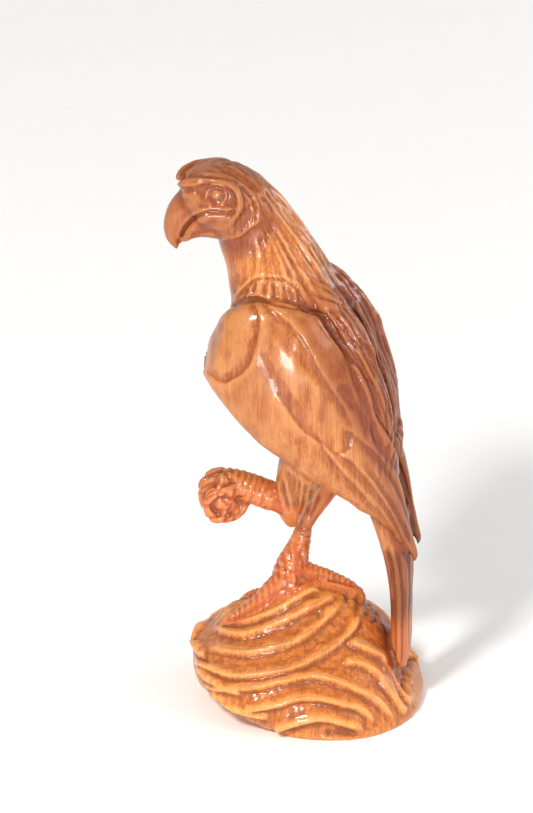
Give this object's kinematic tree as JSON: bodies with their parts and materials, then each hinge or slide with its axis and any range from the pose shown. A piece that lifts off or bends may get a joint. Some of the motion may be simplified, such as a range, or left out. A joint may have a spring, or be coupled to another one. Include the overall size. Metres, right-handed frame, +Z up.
{
  "type": "carved wooden eagle figure",
  "caption": "Varnished wooden eagle carved in one piece with its wave-cut rock, wings folded, one foot raised and the tail resting on the rock.",
  "frame": {"origin": "on the flat underside of the rock, in the bird's middle plane", "axes": "+Z up; the bird faces -X, and its left side is towards -Y"},
  "size_m": [0.1531, 0.1318, 0.3444],
  "materials": {
    "varnished_wood": "warm orange-brown glued boards, carved and varnished"
  },
  "bodies": {
    "root": {"carved_eagle": "varnished_wood"}
  },
  "joints": []
}
